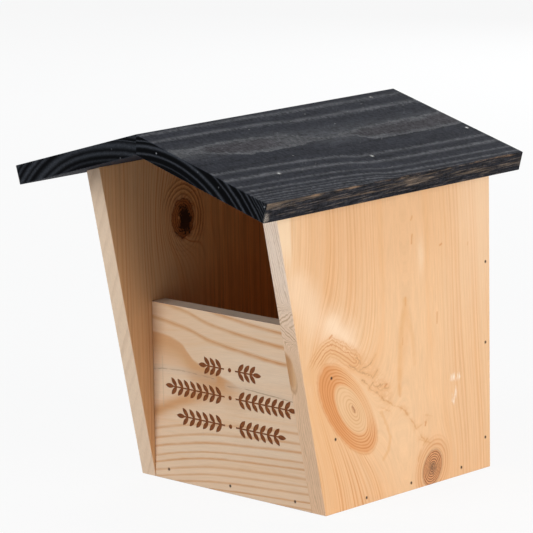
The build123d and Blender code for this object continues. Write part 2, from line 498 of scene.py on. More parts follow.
def crack(wood, torn):
    """Ragged ends of rings, cracks and a tan arc beside the large knot, and its pith."""
    u, v = wood.z, wood.y
    crumple = wood.cloud((9.0, 9.0, 6.5), 22.0, 4.0, 0.65)
    frayed = path_distance(v, u, (
        (-44.0, 150.0), (-22.0, 142.0), (0.0, 126.0), (16.0, 108.0), (27.0, 97.0),
    ))
    frayed = fall(frayed + torn * 6.0, 2.0, 13.0)
    wood.paint((0.68, 0.37, 0.17), frayed * fall(size_of(crumple), 0.0, 0.25) * 0.4)
    jerk = crumple * 4.0
    for points in CRACKS:
        line = path_distance(v + jerk, u + jerk, points)
        wood.paint((0.72, 0.39, 0.18), fall(line, 0.5, 4.0) * 0.35)
        depth = fall(line, 0.1, 1.1) * rise(torn, -0.35, 0.15)
        wood.paint((0.47, 0.24, 0.11), depth * 0.65)
    loop = path_distance(v + torn * 2.6, u + torn * 2.6, (
        (17.0, 82.0), (25.0, 68.0), (29.0, 56.0), (27.0, 45.0), (20.0, 38.0),
    ))
    wood.paint((0.72, 0.395, 0.17), fall(loop, 0.3, 3.2) * 0.5)
    star = wood.cloud((2.0, 2.0, 2.0), 16.0, 2.0, 0.6)
    pith = path_distance(v + star, u + star, ((-22.0, 95.0), (-20.5, 92.5), (-19.0, 89.5)))
    wood.paint((0.36, 0.13, 0.05), fall(pith, 0.2, 1.7) * 0.75)


def set_dark_knot(wood, dark, wander, torn):
    """Dark knot of the right side with the rings around it; returns its rim."""
    rough = wood.cloud((4.0, 4.0, 4.0), 8.0, 4.0, 0.65)
    inside = fall(dark + rough * 0.8, 12.2, 13.4)
    knot_rings = latewood(dark / 1.75 + rough * 0.4, 0.25, 0.2) * (0.85 + rough * 0.9)
    knot = colour_mix((0.68, 0.35, 0.165), (0.21, 0.075, 0.03), knot_rings)
    heart = fall(dark + rough * 10.0, 0.5, 7.5)
    knot = colour_mix(knot, (0.17, 0.09, 0.05), heart * 0.75)
    wood.paint(knot, inside)
    rim = bell(dark + rough, 13.2, 0.9)
    wood.paint((0.33, 0.14, 0.055), rim * 0.5)
    halo = rise(dark, 13.6, 15.0) * fall(dark, 17.0, 27.0)
    halo_rings = latewood(dark / 3.0 + wander + torn * 0.2, 0.3, 0.2)
    wood.paint((0.64, 0.31, 0.13), halo * (0.25 + 0.6 * halo_rings))
    return rim


def draw_resin(wood, torn):
    """Wandering resin line with branches, and resin pockets; returns where resin is thin."""
    u, v = wood.z, wood.y
    shake = torn * 2.4
    thin = rise(wood.cloud((11.0, 11.0, 11.0), 17.0, 2.0, 0.6), -0.3, 0.3)
    for points, depth in RESIN_LINES:
        line = path_distance(v + shake, u + shake, points)
        wood.paint((0.70, 0.38, 0.17), fall(line, 0.5, 6.0) * thin * depth * 0.35)
        wood.paint((0.60, 0.28, 0.10), fall(line, 0.1, 1.3) * thin * depth * 0.8)
    for foot, tip, depth in RESIN_POCKETS:
        pocket = path_distance(v + shake * 0.4, u, (foot, tip))
        wood.paint((0.60, 0.235, 0.07), fall(pocket, 0.1, 1.6) * depth)
    return thin


def draw_spindle(wood, torn, mottle, thin):
    """Tan spindle between the knots of the right side, and a pale streak beside it."""
    u, v = wood.z, wood.y
    belly = traced(u, ((90.0, 0.0), (108.0, 2.5), (135.0, 5.5), (152.0, 8.0), (166.0, 4.5), (182.0, 0.0)))
    beyond = size_of(v - u * 0.09 - 34.5 + mottle * 3.0) - belly
    along = rise(u, 88.0, 110.0) * fall(u, 168.0, 184.0)
    wood.paint((0.73, 0.41, 0.19), fall(beyond, -3.0, 3.0) * along * (0.35 + mottle * 0.2))
    for points, depth in (
        (((51.0, 181.0), (48.0, 165.0), (44.5, 150.0), (42.5, 120.0), (42.0, 95.0)), 0.6),
        (((52.0, 179.0), (56.5, 162.0), (61.0, 146.0), (63.5, 120.0)), 0.35),
    ):
        line = path_distance(v + mottle * 2.0, u, points)
        wood.paint((0.73, 0.40, 0.17), fall(line, 0.5, 5.0) * (0.5 + 0.5 * thin) * depth)
    streak = bell(v + torn * 3.0, 73.0, 4.5) * bell(u, 219.0, 17.0)
    wood.paint((0.88, 0.68, 0.48), streak * 0.5)


def rub(wood, mottle):
    """Rubbed places of the right side, and its pale rear edge."""
    u, v = wood.z, wood.y
    rubbed = smaller(
        path_distance(v, u, ((116.0, 97.0), (126.0, 96.0))),
        path_distance(v, u, ((118.0, 74.0), (120.0, 84.0))),
    )
    rubs = wood.cloud((3.0, 3.0, 12.0), 19.0, 3.0, 0.7)
    wood.paint((0.92, 0.80, 0.68), fall(rubbed, 0.5, 5.5) * rise(rubs, -0.15, 0.3) * 0.85)
    back_edge = rise(v + mottle * 12.0, 95.0, 165.0) * rise(u, 90.0, 260.0)
    wood.paint((0.83, 0.62, 0.43), back_edge * 0.5)


def grow_front_edge(wood, fibres):
    """Fine grain on the right side's front edge, bent around the end of a branch; returns the
    edge, the bend and the rings."""
    u = wood.z
    on_edge = mostly(-wood.facing[1])
    across = wood.x - INNER_HALF
    branch = oval_distance(across, u, (2.2, 136.5), (-0.13, 0.991), 2.7)
    sway = wood.cloud((9.0, 9.0, 30.0), 18.0, 3.0, 0.6)
    bend = size_of(u - 181.0 + across * 0.15)
    chevron = fall(bend + sway * 6.0, 12.0, 24.0)
    edge_growth = across * 0.75 + u * 0.05 - swelling(branch, 11.0, 1.3, 6.0) + sway * 3.0
    bent_growth = (bend * 0.7 - across * 0.55 + sway * 3.5) / 2.9
    edge_phase = blended(edge_growth / 1.9, bent_growth, chevron)
    edge_late = unlike_rings(edge_phase, 0.25, 3.0, 0.35, 0.2)
    edge = colour_mix((0.87, 0.675, 0.525), (0.77, 0.50, 0.31), fall(u, 130.0, 240.0))
    edge = colour_mix(edge, (0.54, 0.33, 0.19), edge_late * (0.6 + 0.4 * chevron + sway * 0.3))
    branch_edge = branch + sway * 1.8
    sunlit = rise(across - (u - 128.0) * 0.08 + sway * 2.0, 1.0, 8.0)
    branch_colour = colour_mix((0.50, 0.235, 0.09), (0.68, 0.39, 0.195), sunlit)
    edge = colour_mix(edge, branch_colour, fall(branch_edge, 4.8, 8.4) * 0.95)
    edge = colour_mix(edge, (0.46, 0.24, 0.115), bell(branch_edge, 7.2, 0.6) * fall(u, 122.0, 140.0) * 0.55)
    edge = shaded(edge, 1.0 + fibres * 0.2)
    wood.paint(edge, on_edge)
    return on_edge, chevron, edge_late


def right_side_pine(settings):
    """Flat-sawn board with a large tight knot that the rings flow around, and a dark one."""
    wood = Finish("pine_right_side")
    u, v = wood.z, wood.y
    w = OUTER_HALF - wood.x
    spacing = settings.ring_spacing * MM
    wander = wood.cloud((60.0, 60.0, 240.0), 1.0)
    torn = wood.cloud((7.0, 7.0, 9.0), 15.0, 4.0, 0.7)
    mottle = wood.cloud((30.0, 30.0, 40.0), 14.0, 3.0, 0.6)
    flow = oval_distance(v, u, FLOW_MIDDLE, LARGE_KNOT_WAY, 2.12, (-0.38, -0.12))
    swirl = oval_distance(v, u, SWIRL_MIDDLE, LARGE_KNOT_WAY, 2.25, (-0.13, -0.21))
    dark = oval_distance(v, u, DARK_KNOT, DARK_KNOT_WAY, 1.33)
    v_bent = v - (v - DARK_KNOT[0]) * square(15.0 / larger(dark, 15.0))
    middle = 54.0 - 0.05 * (u - 150.0)
    aside = v_bent - middle + wander * 5.0
    radius = root(square(aside) + square(w + 38.0))
    tail = formula("EXPONENT", square(flow / 34.0) * -0.5) * 30.0
    growth = radius - swelling(flow, 28.0, 2.3, 5.0) - tail
    uneven = unlike_years(growth, 9.0, 2.0)
    phase = growth / spacing + uneven * 1.6
    luck = dice(whole(phase), 11.0)
    ahead = traced(growth, (
        (38.0, 0.05), (52.0, 0.3), (62.0, 0.9), (100.0, 1.0), (114.0, 0.6), (140.0, 0.75),
    ))
    behind = traced(growth, ((40.0, 0.0), (52.0, 0.1), (60.0, 0.35), (70.0, 0.8), (110.0, 0.8)))
    reach = blended(ahead, behind, rise(aside, -6.0, 6.0))
    broken = 0.8 + 0.4 * wood.cloud((20.0, 20.0, 60.0), 12.0, 3.0, 0.6)
    low_front = fall(u, 30.0, 80.0) * fall(v, -10.0, 40.0)
    late = latewood(phase, 0.45, 0.12) * reach * (0.15 + 0.85 * square(luck)) * (1.0 + 1.1 * low_front)
    fine_phase = phase * 3.0
    fine = latewood(fine_phase, 0.3, 0.2) * dice(whole(fine_phase), 13.0)
    late = larger(late, fine * reach * 0.5) * broken
    # Rings of the large knot
    inner = fall(swirl + mottle * 0.8 + torn * 0.5, 11.5, 14.5)
    towards_front = rise((v + 19.0) * -0.9 + (u - 90.0) * -0.3, -22.0, 24.0)
    lower_end = rise((v + 19.0) * 0.617 - (u - 90.0) * 0.787, 12.0, 42.0)
    outer = fall(swirl + torn * 1.6 + mottle * 1.5, 22.6, 26.6) * (1.0 - inner)
    knot_phase = swirl / 1.7 + mottle * 0.6 + torn * 0.15
    closed = unlike_rings(knot_phase, 0.3, 5.0, 0.35, 0.17)
    core_phase = swirl / 2.1 + mottle * 0.5
    core_rings = unlike_rings(core_phase, 0.3, 8.0, 0.45, 0.2)
    # Cream patch where the rings part above the large knot, partly a painted sheen
    pale = path_distance(v, u, ((-92.0, 214.0), (-66.0, 183.0), (-30.0, 160.0)))
    bright = path_distance(v, u, ((-48.0, 176.0), (-32.0, 160.0), (-20.0, 148.0)))
    cream_and_sheen = fall(pale + mottle * 10.0, 2.0, 27.0) * 0.5 + fall(bright + mottle * 5.0, 0.0, 14.0) * 0.45
    late = late * larger(1.0 - outer - inner, 0.0) * larger(1.0 - cream_and_sheen * 0.8, 0.0)
    fibres = grow_pine(wood, palette_of(settings), late, vector(wood.tree, growth, u, w))
    warmed = fall(v + mottle * 14.0, -70.0, 5.0) * fall(u, 95.0, 150.0)
    wood.paint((0.78, 0.43, 0.19), warmed * 0.45)
    # Painted shade: the upper part of the side made warmer and darker, as under the roof
    painted_upper_shade = rise(u + mottle * 20.0, 150.0, 250.0) * rise(v, -95.0, -60.0) * fall(v, 80.0, 150.0)
    wood.paint((0.60, 0.28, 0.10), painted_upper_shade * 0.22)
    flank = colour_mix((0.76, 0.43, 0.20), (0.67, 0.295, 0.105), larger(towards_front, lower_end * 0.8))
    flank = colour_mix(flank, (0.53, 0.185, 0.05), closed * (0.62 + 0.1 * lower_end))
    cover = 0.40 + 0.50 * towards_front + 0.50 * closed + 0.25 * lower_end
    wood.paint(flank, outer * cover)
    core = colour_mix((0.76, 0.49, 0.27), (0.55, 0.25, 0.09), core_rings * 0.65)
    core = colour_mix(core, (0.80, 0.56, 0.34), rise(mottle, -0.1, 0.6) * 0.5)
    wood.paint(core, inner)
    # The cream patch, pale wood and painted sheen
    wood.paint((0.92, 0.72, 0.53), cream_and_sheen * (0.8 + fibres * 0.5))
    # Sapwood along the upper front edge, with an upright limit
    sap = fall(v + wander * 4.0 + u * 0.04, -91.0, -87.0) * rise(u, 215.0, 262.0)
    wood.paint((0.87, 0.67, 0.46), sap * 0.85)
    tear_rings(wood, swirl, torn, mottle)
    crack(wood, torn)
    rim = set_dark_knot(wood, dark, wander, torn)
    thin = draw_resin(wood, torn)
    draw_spindle(wood, torn, mottle, thin)
    rub(wood, mottle)
    on_edge, chevron, edge_late = grow_front_edge(wood, fibres)
    dent(wood, heads_on("brads_right_side"))
    relief = settings.relief * MM
    height = fibres * relief - late * 0.04 - rim * 0.1 - on_edge * chevron * edge_late * 0.06
    roughness = 0.55 + fibres * 0.06 - late * 0.05
    return wood.finish(roughness, height, 0.25)


def front_panel_pine(settings):
    """Board with its grain across the box; the rings part around a tongue of tan wood."""
    wood = Finish("pine_front_panel")
    u, v = wood.x, wood.z
    w = wood.y - FRONT_Y
    wander = wood.cloud((140.0, 60.0, 40.0), 1.0)
    soft = wood.cloud((30.0, 20.0, 9.0), 2.0, 3.0, 0.6)
    rough = wood.cloud((12.0, 12.0, 4.0), 9.0, 4.0, 0.7)
    above = v - 104.0 + w * 0.5
    lift = traced(u, (
        (-100.0, 22.0), (-60.0, 17.0), (-20.0, 7.5), (20.0, 3.0), (65.0, 0.0), (100.0, -1.0),
    ))
    sink = traced(u, (
        (-100.0, 24.0), (-60.0, 14.5), (-20.0, 8.0), (20.0, 4.5), (60.0, 1.5), (100.0, -1.0),
    ))
    upper = above - lift + wander * 1.5 + soft * 0.7
    lower = -above - sink * fall(-above, 80.0, 200.0) + wander * 1.5 + soft * 0.7
    upper_phase = 1.0 + (upper - 31.5) / 13.9
    lower_part = lower - 34.0
    lower_phase = 1.0 + lower_part / 9.3 * (1.0 + lower_part * 0.0032) + 40.0
    is_upper = rise(above, -2.0, 2.0)
    phase = blended(lower_phase, upper_phase, whole(is_upper + 0.5))
    phase = phase + unlike_years(phase, 1.7, 5.0, 1.0) * 0.3
    part = phase - whole(phase)
    # Each ring is darkest on its outer side and fades towards the middle of the board
    thick = rise(part, 0.62, 0.95)
    thin = rise(part, 0.64, 0.97)
    line = blended(thin, thick, is_upper) * fall(part, 0.97, 1.0) + fall(part, 0.0, 0.12) * 0.6
    strength = blended(0.45 + 0.5 * dice(whole(phase), 6.0), 0.95, is_upper)
    reach = blended(rise(lower, 27.0, 31.0), rise(upper, 21.5, 27.5), whole(is_upper + 0.5))
    late = line * strength * reach * (0.8 + soft * 0.55)
    top = traced(u, (
        (-100.0, 141.0), (-80.0, 139.0), (-63.0, 134.0), (-54.0, 127.0), (-45.0, 120.0),
        (-23.0, 114.0), (0.0, 107.0), (20.0, 101.0),
    ))
    under = top - v + soft * 2.0
    tongue = rise(under, -1.5, 2.0) * fall(under, 4.0, 34.0) * fall(u, -20.0, 30.0)
    bottom = traced(u, (
        (-100.0, 62.0), (-80.0, 70.5), (-60.0, 79.0), (-40.0, 85.0), (0.0, 92.0), (40.0, 97.0),
    ))
    over = v - bottom + soft * 2.0
    limb = bell(over, 1.0, 7.0) * fall(u, -60.0, 20.0)
    late = larger(late, larger(tongue * 0.85, limb * 0.75))
    grain_place = vector(wood.tree, above * 1.3 + lift, u, w)
    palette = palette_of(settings, (0.995, 1.065, 1.215), 1.06)
    fibres = grow_pine(wood, palette, late, grain_place)
    between = rise(above, 0.0, 10.0) * fall(u + soft * 20.0, -60.0, 30.0)
    wood.paint((0.76, 0.46, 0.25), between * 0.3)
    seam = smaller(*(path_distance(u, v + rough, points) for points in FRONT_SEAMS))
    patchy = rise(soft + rough, -0.4, 0.3)
    wood.paint((0.60, 0.46, 0.34), fall(seam, 1.0, 6.0) * 0.3)
    wood.paint((0.27, 0.17, 0.10), fall(seam, 0.05, 0.8) * 0.6 * patchy)
    scribe = path_distance(u, v, ((-87.0, 70.0), (-87.5, 118.0)))
    wood.paint((0.52, 0.36, 0.23), fall(scribe, 0.2, 1.2) * 0.35)
    wood.paint((0.64, 0.33, 0.15), line * strength * reach * (1.0 - is_upper) * 0.3)
    # Top edge, lightened as painted light, with short dark fibres
    streaks = wood.cloud((24.0, 1.2, 1.2), 12.0, 3.0, 0.7)
    upward = mostly(wood.facing[2])
    wood.paint((0.97, 0.81, 0.65), upward * 0.8)
    wood.paint((0.50, 0.33, 0.20), upward * rise(streaks, 0.0, 0.5) * 0.6)
    # Wood browned and charred in the burned ornament
    burn = rise(w, 0.05, 0.4) * fall(w, 0.6, 1.0)
    char = wood.cloud((3.0, 3.0, 3.0), 6.0, 2.0, 0.6)
    burned = colour_mix(settings.char_colour, settings.burned_colour, rise(char, -0.4, 0.6))
    wood.paint(burned, burn * 0.97)
    dent(wood, heads_on("brads_front_to_floor"))
    height = fibres * settings.relief * MM - late * 0.05 - fall(seam, 0.0, 0.6) * 0.2
    roughness = 0.58 + fibres * 0.06 + burn * 0.3
    return wood.finish(roughness, height, 0.2)


def left_side_pine(settings):
    """Flat-sawn board with a dark oval knot under the roof on its inner face."""
    wood = Finish("pine_left_side")
    u, v = wood.z, wood.y
    w = wood.x + INNER_HALF
    wander = wood.cloud((60.0, 60.0, 240.0), 4.0)
    dark = oval_distance(v, u, INNER_KNOT, INNER_KNOT_WAY, 1.32)
    radius = root(square(v - 82.0 + wander * 5.0) + square(48.0 - w))
    tail = formula("EXPONENT", square(dark / 32.0) * -0.5) * 16.0
    growth = radius - swelling(dark, 29.0, 1.15, 6.0) - tail
    uneven = unlike_years(growth, 11.0, 2.0)
    phase = growth / (settings.ring_spacing * MM * 1.1) + uneven
    near_knot = bell(dark, 24.0, 24.0)
    strength = 0.25 + 0.75 * dice(whole(phase), 2.0)
    strength = strength * (0.65 + 1.1 * near_knot) * step(v, -20.0, 20.0, 1.0, 0.35)
    strength = strength * (1.0 - 0.6 * fall(u, 198.0, 230.0) * rise(v, -60.0, -38.0))
    late = latewood(phase, 0.45, 0.12) * strength
    palette = palette_of(settings, (0.925, 0.98, 1.08), 0.85)
    fibres = grow_pine(wood, palette, late, vector(wood.tree, growth, u, w))
    rough = wood.cloud((8.0, 8.0, 8.0), 8.0, 5.0, 0.7)
    pits = wood.cloud((1.8, 1.8, 1.8), 9.0, 2.0, 0.6)
    inside = fall(dark + rough * 4.0, 13.5, 17.0)
    knot_rings = latewood(dark / 2.1 + rough * 1.1, 0.25, 0.2)
    darker = knot_rings * 0.7 + rise(pits, -0.1, 0.5) * 0.4
    knot = colour_mix((0.46, 0.20, 0.075), (0.15, 0.05, 0.02), darker)
    heart = oval_distance(v, u, (-13.0, 239.5), (0.1, -0.995), 1.6)
    heart = fall(heart + rough * 12.0 + pits * 6.0, 6.0, 10.0)
    knot = colour_mix(knot, (0.016, 0.006, 0.003), heart * 0.96)
    rim = bell(dark + rough * 2.4, 14.4, 1.2) * rise(rough + pits, -0.2, 0.4)
    knot = colour_mix(knot, (0.06, 0.02, 0.01), rim)
    speck = path_distance(v, u, ((-21.0, 242.0), (-21.0, 243.0)))
    knot = colour_mix(knot, (0.60, 0.34, 0.16), fall(speck, 0.3, 1.8))
    wood.paint(knot, inside)
    # Closed rings above and behind the knot, with painted highlights on the ridges between dark ones
    halo_phase = dark / 3.6 + wander * 0.5 + rough * 0.45
    halo_rings = unlike_rings(halo_phase, 0.3, 4.0, 0.4, 0.2)
    turned = rise(u + v * 0.9, 205.0, 238.0)
    halo = rise(dark, 15.5, 17.5) * fall(dark, 25.0, 34.0) * (0.2 + 0.8 * turned)
    wood.paint((0.54, 0.29, 0.12), halo * turned * 0.6)
    ridge_highlights = bell(halo_phase - whole(halo_phase), 0.35, 0.16)
    wood.paint((0.95, 0.68, 0.42), halo * turned * ridge_highlights * 0.6)
    wood.paint((0.26, 0.10, 0.035), halo * halo_rings * 0.85)
    inner_face = mostly(wood.facing[0])
    upright = wood.cloud((9.0, 3.0, 160.0), 14.0, 4.0, 0.65)
    wood.shade(1.0 + upright * inner_face * step(v, -20.0, 40.0, 0.15, 0.75))
    edge = mostly(-wood.facing[1])
    strip = colour_mix((0.82, 0.605, 0.43), (0.68, 0.49, 0.345), rise(u, 225.0, 300.0))
    strip = shaded(strip, 1.0 + fibres * 0.2 - late * 0.15)
    wood.paint(strip, edge * 0.8)
    dent(wood, heads_on("brads_left_side"))
    # Painted shade: the inner face darker and more orange, more so deep inside
    painted_inner_shade = colour_mix((0.89, 0.75, 0.60), (0.82, 0.575, 0.33), rise(v, -50.0, 40.0))
    shade = colour_mix((1.03, 0.98, 0.90), painted_inner_shade, inner_face)
    shade = colour_mix(shade, (1.0, 1.0, 1.0), edge)
    wood.tint(shade)
    height = fibres * settings.relief * MM - late * 0.04 - inside * heart * 0.2
    roughness = 0.58 + fibres * 0.06
    return wood.finish(roughness, height, 0.2)


def plain_pine(settings, name, along, pith_across, pith_depth, seed):
    """Board without knots; along is the axis of its grain."""
    wood = Finish(name)
    across_of = {"z": (wood.x, wood.y, wood.z), "y": (wood.x, wood.z, wood.y)}
    across, through, u = across_of[along]
    wander = wood.cloud((90.0, 90.0, 90.0), seed)
    radius = root(square(across - pith_across + wander * 6.0) + square(through - pith_depth))
    growth = radius + u * 0.03
    uneven = unlike_years(growth, 13.0, seed)
    phase = growth / (settings.ring_spacing * MM * 1.13) + uneven
    late = unlike_rings(phase, 0.35, seed)
    palette = palette_of(settings, (0.86, 0.82, 0.78), 0.75)
    fibres = grow_pine(wood, palette, late, vector(wood.tree, growth, u, through))
    if name == "pine_back_panel":
        dent(wood, heads_on("brads_back_to_floor"))
    # Painted shade: the faces turned towards -y, such as the back panel's inner face, darker and orange
    shade = colour_mix((1.0, 1.0, 1.0), (0.97, 0.57, 0.21), mostly(-wood.facing[1]))
    wood.tint(shade)
    height = fibres * settings.relief * MM - late * 0.04
    return wood.finish(0.58 + fibres * 0.06, height, 0.2)


def flat_ring(s, u, ragged, jag, above):
    """Flat ring along the middle of a roof board and its ragged edge, which take less stain."""
    top = traced(u, (
        (-173.0, 40.0), (-140.0, 43.0), (-100.0, 42.0), (-60.0, 45.0), (-20.0, 55.0), (5.0, 68.5),
        (15.0, 68.0), (40.0, 64.0), (60.0, 62.0), (110.0, 61.5), (171.0, 60.0),
    ))
    bottom = traced(u, (
        (-173.0, 58.0), (-150.0, 56.0), (-120.0, 66.0), (-75.0, 75.0), (0.0, 71.5), (15.0, 72.5),
        (40.0, 80.0), (50.0, 88.0), (70.0, 90.0), (171.0, 91.0),
    ))
    within = smaller(s - top, bottom - s) + ragged * 4.0 + jag * 5.5
    flat = rise(within, -0.8, 0.5) * above
    outline = fall(within + ragged * 5.0 + jag * 3.0, 2.0, 8.0)
    pale = larger(bell(u + ragged * 20.0, -28.0, 24.0), fall(u + ragged * 10.0, -150.0, -125.0))
    return flat, flat * larger(outline, pale * 0.8)


def wear_eave(wood, settings, on_board, end_grain, spots, pores):
    """Stain worn brown along the eave, most on its upper arris, and chipped at the eave's front end, with
    the eave face darkened as painted shade; returns the chips."""
    s, u, w = on_board
    from_eave = ROOF_SLOPE - s
    front = wood.y + BACK_Y
    slanted = vector(wood.tree, s, u, w + front * 0.03)
    streak = cloud(slanted, (3.0, 34.0, 1.5), 6.0, 5.0, 0.75)
    grooves = cloud(slanted, (3.0, 20.0, 1.1), 15.0, 3.0, 0.7)
    eave_face = fall(from_eave, 0.3, 0.9) * (1.0 - end_grain)
    near_front = fall(w + front * 0.05, 3.0, 8.0) * 0.7
    in_middle = bell(front, 190.0, 40.0) * bell(w, 6.0, 5.0) * 0.6
    at_back = rise(front, 215.0, 260.0) * bell(w, 9.5, 3.5) * 0.45
    wear = streak * 1.6 + spots * 0.3 + pores * 0.3 + near_front + in_middle + at_back - 0.2
    worn = eave_face * rise(wear, 0.0, 0.6)
    # Painted shade: the eave face darkened to about half, lighter and darker along its grooves
    wood.shade(1.0 - eave_face * (0.5 - grooves * 0.9))
    wood.paint(settings.worn_colour, worn * (0.75 + 0.4 * pores))
    light = eave_face * rise(grooves + streak * 0.5, 0.1, 0.45) * (0.35 + 0.65 * worn)
    wood.paint((0.30, 0.24, 0.19), light * 0.7)
    bare = bell(w + front * -0.02 + streak * 2.0, 6.5, 0.7) * bell(front, 108.0, 40.0)
    wood.paint((0.30, 0.21, 0.14), eave_face * bare * rise(streak, -0.2, 0.3) * 0.7)
    arris = bell(from_eave, 0.4, 1.4) * fall(w, 0.8, 2.2) * rise(spots + streak + pores * 0.6, 0.0, 0.6)
    wood.paint((0.30, 0.195, 0.125), arris * 0.85)
    # Chipped stain at the front end of the eave
    corner = root(square(from_eave / 2.0) + square((front - 1.0) / 8.0) + square((w - 13.0) / 7.0))
    chipped = fall(corner + pores * 1.4 + spots * 0.8, 0.55, 0.8)
    wood.paint((0.40, 0.36, 0.32), chipped * rise(pores, -0.2, 0.1) * 0.85)
    return chipped


def stained_pine(settings, name, side, heads):
    """Black stain that lets the rings show, grey where it is thin and brown where worn."""
    wood = Finish(name)
    cosine, sine = math.cos(ROOF_PITCH), math.sin(ROOF_PITCH)
    over = wood.x * side
    drop = RIDGE_TOP - wood.z
    s = over * cosine + drop * sine
    w = drop * cosine - over * sine
    u = wood.y * side
    board_place = vector(wood.tree, s, u, w + side * 40.0)
    small = cloud(board_place, (1.1, 26.0, 1.1), 3.0, 4.0, 0.75)
    pores = cloud(board_place, (0.8, 0.8, 0.8), 9.0, 3.0, 0.7)
    broad = cloud(board_place, (12.0, 110.0, 12.0), 4.0, 3.0, 0.6)
    ragged = cloud(board_place, (10.0, 24.0, 10.0), 5.0, 5.0, 0.65)
    scuffs = cloud(board_place, (3.4, 3.0, 3.4), 12.0, 3.0, 0.65)
    spots = cloud(board_place, (5.0, 24.0, 5.0), 10.0, 3.0, 0.6)
    # Rings about a pith below the board, so that the face runs along one of them at its middle
    slip = traced(u, (
        (-171.0, 0.0), (-100.0, 3.0), (-45.0, 7.0), (-20.0, 10.5), (5.0, 17.0), (60.0, 19.5), (171.0, 22.0),
    ))
    jag = cloud(board_place, (5.0, 9.0, 5.0), 11.0, 5.0, 0.75)
    s_level = s - slip * rise(s, -30.0, 90.0) + ragged * 1.2 + jag * 1.4
    radius = root(square(s_level - 51.0) + square(135.0 - w)) + scuffs * 0.5
    lines = bell(radius, 138.6, 0.6) * fall(s, 40.0, 60.0) * 0.9
    # The left board's rings are broader
    spread = 1.0 if side > 0.0 else 1.9
    for middle, width, depth in ROOF_RINGS:
        lines = larger(lines, bell(radius, middle, width * spread) * depth)
    end_grain = rise(size_of(wood.facing[1]), 0.6, 0.9)
    above = mostly(wood.facing[2])
    flat, outline = flat_ring(s, u, ragged, jag, above)
    clear = larger(1.0 - flat, 1.0 - above)
    face_lines = lines * clear * (0.85 + ragged * 0.7 + jag * 0.3)
    wood.colour = colour_mix(settings.stain_colour, settings.ring_colour, face_lines * (0.2 + 0.8 * above))
    wood.paint(settings.thin_colour, flat * 0.9)
    wood.paint(settings.outline_colour, outline * 0.75)
    wood.paint((0.024, 0.025, 0.030), bell(s + ragged, 91.5, 0.9) * above * 0.7)
    blotches = cloud(board_place, (16.0, 40.0, 16.0), 13.0, 3.0, 0.6)
    uneven = 1.0 + small * 0.6 + scuffs * 1.3 + broad * 0.35 + blotches * 0.35
    wood.shade(larger(uneven, 0.3))
    scratch_place = vector(wood.tree, s + u * 0.9, u * 0.6 - s * 0.5, w)
    scratches = cloud(scratch_place, (0.9, 34.0, 3.0), 14.0)
    chance = rise(blotches + ragged * 0.6, 0.1, 0.5)
    wood.paint((0.20, 0.20, 0.21), rise(scratches, 0.1, 0.4) * chance * above * 0.6)
    end_lines = lines * (0.9 + pores * 1.2 + spots * 0.3) / math.sqrt(spread)
    end = colour_mix((0.0010, 0.0011, 0.0015), settings.end_ring_colour, end_lines)
    wood.paint(end, end_grain)
    chipped = wear_eave(wood, settings, (s, u, w), end_grain, spots, pores)
    # Pale bruises around the brads, and dust
    near = head_distance(wood, heads)
    wood.paint((0.50, 0.48, 0.45), fall(near + pores * 1.8, 1.4, 2.6) * 0.6)
    dust = specks(board_place, (9.0, 13.0, 9.0), 0.12, 2.0)
    wood.paint((0.33, 0.33, 0.335), dust * 0.7)
    height = lines * 0.06 + small * 0.05 + end_grain * end_lines * 0.25 + chipped * pores * 0.3
    roughness = 0.66 + small * 0.08
    return wood.finish(roughness, height, 0.02)


def wire_steel(name, dull, bright):
    """Brad wire, marked by the punch; the copy for brads deep in the wood is darkened, a painted shade of
    their holes.
    """
    wire = Finish(name)
    marks = wire.cloud((0.5, 0.5, 0.5), 1.0, 3.0, 0.6)
    wire.colour = colour_mix(dull, bright, rise(marks, -0.5, 0.5))
    wire.shader.inputs["Metallic"].default_value = 1.0
    return wire.finish(0.42 + marks * 0.12, marks * 0.02, 0.5)


class BradHead:
    """Middle of a brad's outer face, with the way into the wood and the way the head is wide."""

    def __init__(self, corners):
        middle = corners.mean(axis=0)
        axes = numpy.linalg.svd(corners - middle, full_matrices=False)[2]
        along = (corners - middle) @ axes[0]
        aside = abs((corners - middle) @ axes[1])
        first = aside[along < along.min() + HEAD_REACH].max()
        last = aside[along > along.max() - HEAD_REACH].max()
        way = 1.0 if first > last else -1.0
        start = along.min() if way > 0.0 else along.max()
        self.middle = Vector(middle + axes[0] * start)
        self.ahead = Vector(axes[0] * way)
        self.wide = Vector(axes[1])


def heads_on(prefixes):
    """Heads of the brads in the nodes whose names start so, from their solids."""
    heads = []
    for name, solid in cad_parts.items():
        if not name.startswith(prefixes):
            continue
        copy = bmesh.new()
        copy.from_mesh(solid.data)
        bmesh.ops.remove_doubles(copy, verts=copy.verts, dist=WELD)
        left = set(copy.verts)
        while left:
            loose = []
            edge = [left.pop()]
            while edge:
                corner = edge.pop()
                loose.append(corner.co[:])
                near = [link.other_vert(corner) for link in corner.link_edges]
                fresh = [other for other in near if other in left]
                left.difference_update(fresh)
                edge.extend(fresh)
            heads.append(BradHead(numpy.array(sorted(loose))))
        copy.free()
    return sorted(heads, key=lambda head: tuple(round(value, 5) for value in head.middle))


def dress(node, material):
    """Gives a solid of the frame its material."""
    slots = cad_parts[node].data.materials
    slots.clear()
    slots.append(material)


class NESTBOX_OT_walls(bpy.types.Operator):
    """Pine for the sides, the front, the back and the floor"""

    bl_idname = "nestbox.walls"
    bl_label = "Walls and floor"

    def execute(self, context):
        wood = context.scene.nestbox_wood
        dress("right_side", right_side_pine(wood))
        dress("left_side", left_side_pine(wood))
        dress("front_panel", front_panel_pine(wood))
        dress("back_panel", plain_pine(wood, "pine_back_panel", "z", 20.0, 190.0, 21.0))
        dress("floor_panel", plain_pine(wood, "pine_floor_panel", "y", -30.0, -40.0, 22.0))
        return {"FINISHED"}


